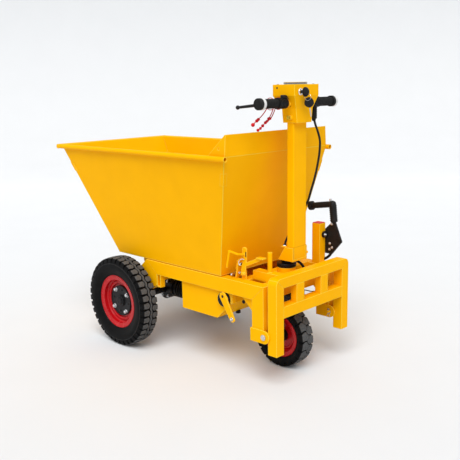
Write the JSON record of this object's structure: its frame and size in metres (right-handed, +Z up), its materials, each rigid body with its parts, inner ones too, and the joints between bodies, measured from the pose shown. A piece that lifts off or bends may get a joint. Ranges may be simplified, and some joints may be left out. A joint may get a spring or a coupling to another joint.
{
  "type": "motorized wheelbarrow",
  "caption": "Motor-driven wheelbarrow with a steel tub that tips forward, steered rear wheel on a tall column, and a footboard that folds down behind.",
  "frame": {"origin": "centre of the bounding box on the ground", "axes": "+X forward towards the dumping end, +Y to the left, +Z up"},
  "size_m": [1.2901, 0.6794, 1.186],
  "materials": {
    "yellow_paint": "gloss",
    "red_paint": "gloss",
    "black_plastic": "satin",
    "black_rubber": "matte",
    "black_metal": "satin",
    "tyre_rubber": "matte",
    "steel": "brushed"
  },
  "bodies": {
    "chassis": {"chassis_rails": "yellow_paint", "rear_legs": "yellow_paint", "front_legs": "yellow_paint", "crossbars": "yellow_paint", "steering_head": "yellow_paint", "footboard_lugs": "yellow_paint", "tub_rest_pads": "black_rubber", "tip_hinge": "yellow_paint", "axle_hangers": "yellow_paint", "battery_box": "yellow_paint", "box_crank": "yellow_paint", "frame_posts": "yellow_paint", "parking_brake": "black_plastic", "latch_lever": "yellow_paint", "drive_axle": "black_metal", "drive_motor": "black_metal"},
    "tub": {"tub_floor": "yellow_paint", "tub_front": "yellow_paint", "tub_rear": "yellow_paint", "tub_sides": "yellow_paint", "tub_backboard": "yellow_paint", "tub_side_rims": "yellow_paint", "tub_front_rim": "yellow_paint", "tub_hinge_lugs": "yellow_paint"},
    "front_left_wheel_body": {"front_left_tyre": "tyre_rubber", "front_left_wheel": "red_paint", "front_left_hub": "black_metal"},
    "front_right_wheel_body": {"front_right_tyre": "tyre_rubber", "front_right_wheel": "red_paint", "front_right_hub": "black_metal"},
    "steering": {"steering_stem": "black_metal", "rear_fork": "black_metal", "column": "yellow_paint", "column_shoe": "yellow_paint", "control_head": "yellow_paint", "ignition_key": "black_plastic", "handlebar": "yellow_paint", "grips": "black_rubber", "bar_housings": "black_plastic", "control_cable": "black_rubber"},
    "rear_wheel_body": {"rear_tyre": "tyre_rubber", "rear_wheel": "red_paint"},
    "footboard": {"footboard_legs": "yellow_paint", "footboard_beams": "yellow_paint", "footboard_bars": "yellow_paint"}
  },
  "joints": [
    {"name": "tub_tip", "type": "hinge", "parent": "chassis", "child": "tub", "pos_m": [0.31194, 0, 0.35], "axis": [0, 1, 0], "range_deg": [0, 80]},
    {"name": "front_left_wheel_spin", "type": "hinge", "parent": "chassis", "child": "front_left_wheel_body", "pos_m": [0.24194, 0.293, 0.2075], "axis": [0, 1, 0], "continuous": true},
    {"name": "front_right_wheel_spin", "type": "hinge", "parent": "chassis", "child": "front_right_wheel_body", "pos_m": [0.24194, -0.293, 0.2075], "axis": [0, 1, 0], "continuous": true},
    {"name": "steering_turn", "type": "hinge", "parent": "chassis", "child": "steering", "pos_m": [-0.50006, 0, 0.39], "axis": [0, 0, 1], "range_deg": [-45, 45]},
    {"name": "rear_wheel_spin", "type": "hinge", "parent": "steering", "child": "rear_wheel_body", "pos_m": [-0.48406, 0, 0.134], "axis": [0, 1, 0], "continuous": true},
    {"name": "footboard_fold", "type": "hinge", "parent": "chassis", "child": "footboard", "pos_m": [-0.58406, 0, 0.211], "axis": [0, -1, 0], "range_deg": [0, 90]}
  ]
}
